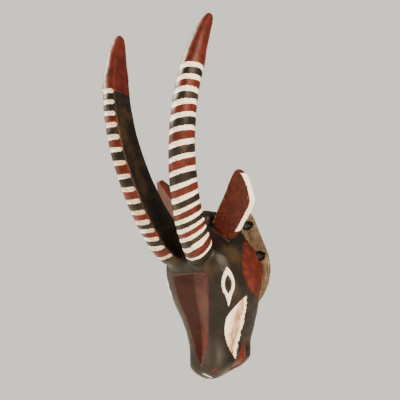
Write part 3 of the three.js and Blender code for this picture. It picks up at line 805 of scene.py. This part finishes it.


def ear_distances(at):
    """How deep each point is inside the ear's red front and edges, and inside its white outer bevel."""
    off = at * np.stack([np.sign(at[:, 0]), np.ones(len(at)), np.ones(len(at))], axis=1) - EAR_TIP
    across, up, depth = (off @ axis for axis in ear_frame())
    near = (np.abs(across) < 60) & (up > -100) & (up < 12) & (depth > -4) & (depth < 22) & (at[:, 2] > -45)
    face, white = np.full(len(at), FAR), np.full(len(at), FAR)
    inside = outline_distance(EAR_OUTLINE, across[near], up[near])
    face[near] = np.minimum(EAR_THICK - 0.7 - depth[near], inside + EAR_BEVEL + 2)
    outer = np.minimum(across[near] - EAR_WHITE["across"], EAR_WHITE["start"] - inside)
    outer = np.minimum(outer, np.minimum(EAR_WHITE["tip"] - up[near], up[near] - EAR_WHITE["foot"]))
    white[near] = np.minimum(outer, EAR_THICK + 0.8 - depth[near])
    face[near] = np.minimum(face[near], up[near] - EAR_WHITE["foot"] + 12)
    return face, white


def keep_values(piece, name, values):
    layer = piece.data.attributes.new(name, "FLOAT", "POINT")
    layer.data.foreach_set("value", np.ascontiguousarray(values, dtype=np.float32))


points = points_of(mask)
white, red = np.full(len(points), FAR), np.full(len(points), FAR)
on_horn = np.zeros(len(points))
for rings in (LEFT_RINGS, RIGHT_RINGS):
    near, run, turn, reach, row = horn_field(points, rings["side"])
    ring_white, ring_red = ring_distance(rings, run, turn, reach)
    white[near], red[near] = ring_white, ring_red
    on_horn[near] = rings["side"]
ring, pupil = eye_distances(points)
moon, temple, mouth = (side_distance(line, points) for line in (MOON_OUTLINE, TEMPLE_OUTLINE, MOUTH_OUTLINE))
face, bevel = ear_distances(points)
skin = outer_skin(points)
eye_white = np.minimum(ring - 0.3, -pupil - PUPIL_MOAT + 0.5)
for shape in (eye_white, np.where(skin, moon, FAR), bevel, stroke_distance(LIP, points)):
    white = np.maximum(white, shape)
for shape in (blaze_distance(points) + BLAZE_PAINT, np.where(skin, temple, FAR),
              mouth - 0.4, face, stroke_distance(NOSTRIL, points)):
    red = np.maximum(red, shape)
edge_y = BARE_FROM["y"] + (BARE_FROM["jaw_y"] - BARE_FROM["y"]) * ramp(
    -points[:, 2], -BARE_FROM["head_z"], -BARE_FROM["jaw_z"])
in_hollow = np.minimum(points[:, 1] - along(HEAD, points[:, 2], 2) - FRONT_WALL * 0.6,
                       along(HEAD, points[:, 2], 1) - SIDE_WALL * 0.5 - np.abs(points[:, 0]))
in_hollow = np.minimum(in_hollow, HOLLOW_TOP + 2 - points[:, 2])
in_hollow = np.minimum(in_hollow, points[:, 2] - HOLLOW_BOTTOM + 2)
bare = np.maximum(points[:, 1] - edge_y, in_hollow)
# painted shade: the bore walls and a thin rim round each mouth stay black, not bare wood
for hole in LASHING_HOLES:
    narrowing = narrowing_at(points[:, 1])
    middle = hole["x"] + hole["slant"] * narrowing
    to_hole = np.hypot(np.abs(points[:, 0]) - middle, points[:, 2] - hole["z"])
    hole_shade = hole["radius"] + (hole["exit"] - hole["radius"]) * narrowing + HOLE_SHADE_RIM - to_hole
    bare = np.where(points[:, 1] < -0.5, np.minimum(bare, -hole_shade), bare)
for name, values in (("white", white), ("red", red), ("bare", bare), ("pupil", pupil)):
    keep_values(mask, name, np.clip(values, -20, 20))
# painted shade: the moon's white darkens to tan down its floor towards the back wall
floor_depth = np.clip((points[:, 1] - MOON_FRONT) / MOON_REACH, 0, 1)
keep_values(mask, "moon", floor_depth * ramp(moon, 0.9, 2.2) * skin)
keep_values(mask, "right_horn", on_horn < 0)
# painted shade: the ears' red is darker than other red
keep_values(mask, "shaded_ears", face > 0)
# painted shade: the blaze's walls are darkened beyond other red, the left one most
keep_values(mask, "blaze_shade", (blaze_distance(points) > -1) * (0.5 + 0.5 * ramp(-points[:, 0], -3, 3)))

first, second = edge_ends(mask)
normal = normals_of(mask)
sharpness = np.zeros(len(points))
for start, end in ((first, second), (second, first)):
    off = points[start] - points[end]
    length_squared = np.maximum(np.einsum("ij,ij->i", off, off), SHORTEST_EDGE**2)
    lift = 2 * np.einsum("ij,ij->i", off, normal[start]) / length_squared
    sharpness += np.bincount(start, lift, minlength=len(points))
sharpness /= np.bincount(np.concatenate([first, second]), minlength=len(points))
for _ in range(3):
    sharpness = (sharpness + spread(first, second, sharpness)) / 2
# sharp edges wear and get a painted highlight on white; creases get painted shade
keep_values(mask, "arris", np.clip(sharpness * SHARP_SHOWN, 0, 1))
keep_values(mask, "crease_shade", np.clip(-sharpness * SHARP_SHOWN, 0, 1))


# Paint and bare wood
# Home-made oil paint brushed straight on soft wood: satin black rubbed brown where hands go, a dull
# red-brown, and a thick chalky white that has yellowed. The collar shows the grey-brown wood.
PATTERNS = {  # mm across, detail, how much longer upwards
    "wander": (3.5, 3, 1),      # the unsteady edge of a hand-held brush
    "patches": (38, 3, 1),      # where hands have rubbed
    "clouds": (12, 4, 1),       # paint laid on thick and thin
    "speckle": (2.2, 4, 1),
    "bristles": (0.9, 2, 7),    # the tracks of the brush
    "stains": (6, 4, 2.5),
    "grain": (1.6, 3, 22),      # year rings, 1.6 mm apart
}
DEPTHS = ("white", "red", "bare", "moon", "pupil", "right_horn", "shaded_ears", "blaze_shade", "arris", "crease_shade")
STEPS = {  # a pattern or a depth, where it starts and where it is full
    "thick": ("clouds", 0.35, 0.7), "brushed": ("bristles", 0.45, 0.75), "rubbed": ("patches", 0.50, 0.70),
    "flecked": ("speckle", 0.25, 0.6), "chips": ("speckle", 0.64, 0.70), "stained": ("stains", 0.36, 0.62),
    "moon_floor_shade": ("moon", 0.2, 0.75), "off_pupil": ("pupil", 1.5, 0), "yellowing": ("clouds", 0.3, 0.6),
    "ringed": ("grain", 0.35, 0.65), "faded": ("patches", 0.5, 0.75), "grimy": ("patches", 0.6, 0.4),
}
SPOTS = {  # middle in mm, full within, gone beyond
    # a browner, flecked patch on the forehead above the left eye
    "forehead": ((50, -70, -62), 6, 24),
    "scuff": ((-8, -112, -60), 2, 8),
    # painted sheen: a grey highlight on the muzzle's black
    "muzzle_sheen": ((20, -78, -195), 8, 30),
}
TOGETHER = {  # two of the above, and how they meet
    "handled": ("MULTIPLY", "rubbed", "flecked"), "forehead_flecks": ("MULTIPLY", "forehead", "flecked"),
    "scuffed": ("MULTIPLY", "scuff", "chips"), "worn_edge": ("MULTIPLY", "arris", "flecked"),
    "brown": ("MAXIMUM", "handled", "forehead_flecks"), "all_brown": ("MAXIMUM", "brown", "worn_edge"),
    "shown_brown": ("MULTIPLY", "all_brown", "off_pupil"),
    # stains on the moon's floor, strongest where its painted shade is deepest
    "moon_stain_and_shade": ("MULTIPLY", "moon_floor_shade", "stained"),
    "right_yellow": ("MULTIPLY", "right_horn", "yellowing"), "tip_flecks": ("MULTIPLY", "shaded_ears", "chips"),
}
COATS = {  # the first coat, then what lies over it, how strongly and in which colour
    "black": ("#0f0c0a", [("thick", 1, "#1a1512"), ("shown_brown", 0.75, "#46351f"),
                          # painted sheen on the muzzle
                          ("muzzle_sheen", 0.6, "#3a3634"), ("scuffed", 0.8, "#8f8a82")]),
    "wood": ("#45382c", [("ringed", 1, "#6f5d4a"), ("faded", 0.8, "#8a7660"), ("grimy", 0.35, "#45382c")]),
    "red": ("#3f120a", [("thick", 1, "#5c2013"), ("worn_edge", 0.5, "#84402b"),
                        # painted shade: the ears' red and the blaze's walls are darkened
                        ("shaded_ears", 0.45, "#34100a"), ("blaze_shade", 0.85, "#260904"),
                        # painted shade in creases
                        ("crease_shade", 0.6, "#2a0c07"), ("tip_flecks", 0.6, "#9a7a68")]),
    "white": ("#fff8ea", [("brushed", 0.35, "#e0c8a4"), ("right_yellow", 0.8, "#d6b88c"),
                          # painted shade on the moon's floor, with stain patches in it
                          ("moon_floor_shade", 0.75, "#cf9c6b"), ("moon_stain_and_shade", 0.85, "#7d4a22"),
                          # painted shade in creases
                          ("crease_shade", 0.5, "#a67a4c"),
                          # painted highlight: white is lightened along sharp edges
                          ("arris", 0.15, "#ffffff")]),
}
EDGE_STRAY = 1.1        # mm, how far a painted edge strays each way
EDGE_BLUR = 0.22        # mm
ROUGHNESS = {"black": 0.36, "white": 0.22, "bare": 0.3, "speckle": 0.16}

paint = bpy.data.materials.new("brushed_oil_paint_on_wood")
paint.use_nodes = True
nodes, links = paint.node_tree.nodes, paint.node_tree.links
shader = nodes["Principled BSDF"]


def add(kind, settings=None, out=0, **inputs):
    """Adds a node with its settings, and a value or a link for each input, and returns an output."""
    node = nodes.new("ShaderNode" + kind)
    for key, value in (settings or {}).items():
        setattr(node, key, value)
    for key, value in inputs.items():
        socket = node.inputs[int(key[1:])] if key[1:].isdigit() else node.inputs[key.replace("_", " ")]
        if isinstance(value, bpy.types.NodeSocket):
            links.new(value, socket)
        else:
            socket.default_value = value
    return node.outputs[out]


TIMES, PLUS = {"operation": "MULTIPLY"}, {"operation": "ADD"}
SOFT_STEP = {"interpolation_type": "SMOOTHSTEP"}
place = add("TexCoord", out="Object")
shown = {name: add("Attribute", {"attribute_name": name}, out="Fac") for name in DEPTHS}
for name, (size, detail, longer) in PATTERNS.items():
    stretched = add("Mapping", {"vector_type": "TEXTURE"}, Vector=place, Scale=(1, 1, longer))
    shown[name] = add("TexNoise", Vector=stretched, Scale=1 / (size * MM), Detail=detail)
for name, (source, low, high) in STEPS.items():
    shown[name] = add("MapRange", SOFT_STEP, Value=shown[source], From_Min=low, From_Max=high)
for name, (middle, near, far) in SPOTS.items():
    off = add("VectorMath", {"operation": "DISTANCE"}, out="Value", _0=place, _1=Vector(middle) * MM)
    shown[name] = add("MapRange", SOFT_STEP, Value=off, From_Min=far * MM, From_Max=near * MM)
for name, (operation, one, other) in TOGETHER.items():
    shown[name] = add("Math", {"operation": operation}, _0=shown[one], _1=shown[other])

stray = add("Math", TIMES, _0=add("Math", PLUS, _0=shown["wander"], _1=-0.5), _1=EDGE_STRAY * 2)
lies = {}
for name in ("bare", "red", "white"):
    deep = add("Math", PLUS, _0=shown[name], _1=stray)
    lies[name] = add("MapRange", SOFT_STEP, Value=deep, From_Min=-EDGE_BLUR, From_Max=EDGE_BLUR)

coats = {}
for name, (first_coat, over) in COATS.items():
    coats[name] = linear(first_coat)
    for where, strength, tint in over:
        amount = add("Math", TIMES, _0=shown[where], _1=strength)
        coats[name] = add("Mix", {"data_type": "RGBA"}, out=2, _0=amount, _6=coats[name], _7=linear(tint))
colour = coats["black"]
for name, coat in (("bare", "wood"), ("red", "red"), ("white", "white")):
    colour = add("Mix", {"data_type": "RGBA"}, out=2, _0=lies[name], _6=colour, _7=coats[coat])
links.new(colour, shader.inputs["Base Color"])

rough = ROUGHNESS["black"]
for amount, source in (("white", lies["white"]), ("bare", lies["bare"]), ("speckle", shown["speckle"])):
    rough = add("Math", {"operation": "MULTIPLY_ADD"}, _0=source, _1=ROUGHNESS[amount], _2=rough)
links.new(rough, shader.inputs["Roughness"])

relief = add("Math", PLUS, _0=shown["bristles"], _1=shown["speckle"])
relief = add("Math", {"operation": "MULTIPLY_ADD"}, _0=lies["white"], _1=2.4, _2=relief)
bump = add("Bump", Strength=0.5, Distance=0.075 * MM, Height=relief)
links.new(bump, shader.inputs["Normal"])
shader.inputs["IOR"].default_value = 1.5
shader.inputs["Specular IOR Level"].default_value = 0.25

mask.data.materials.clear()
mask.data.materials.append(paint)
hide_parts("carved_mask")
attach(mask, "root")
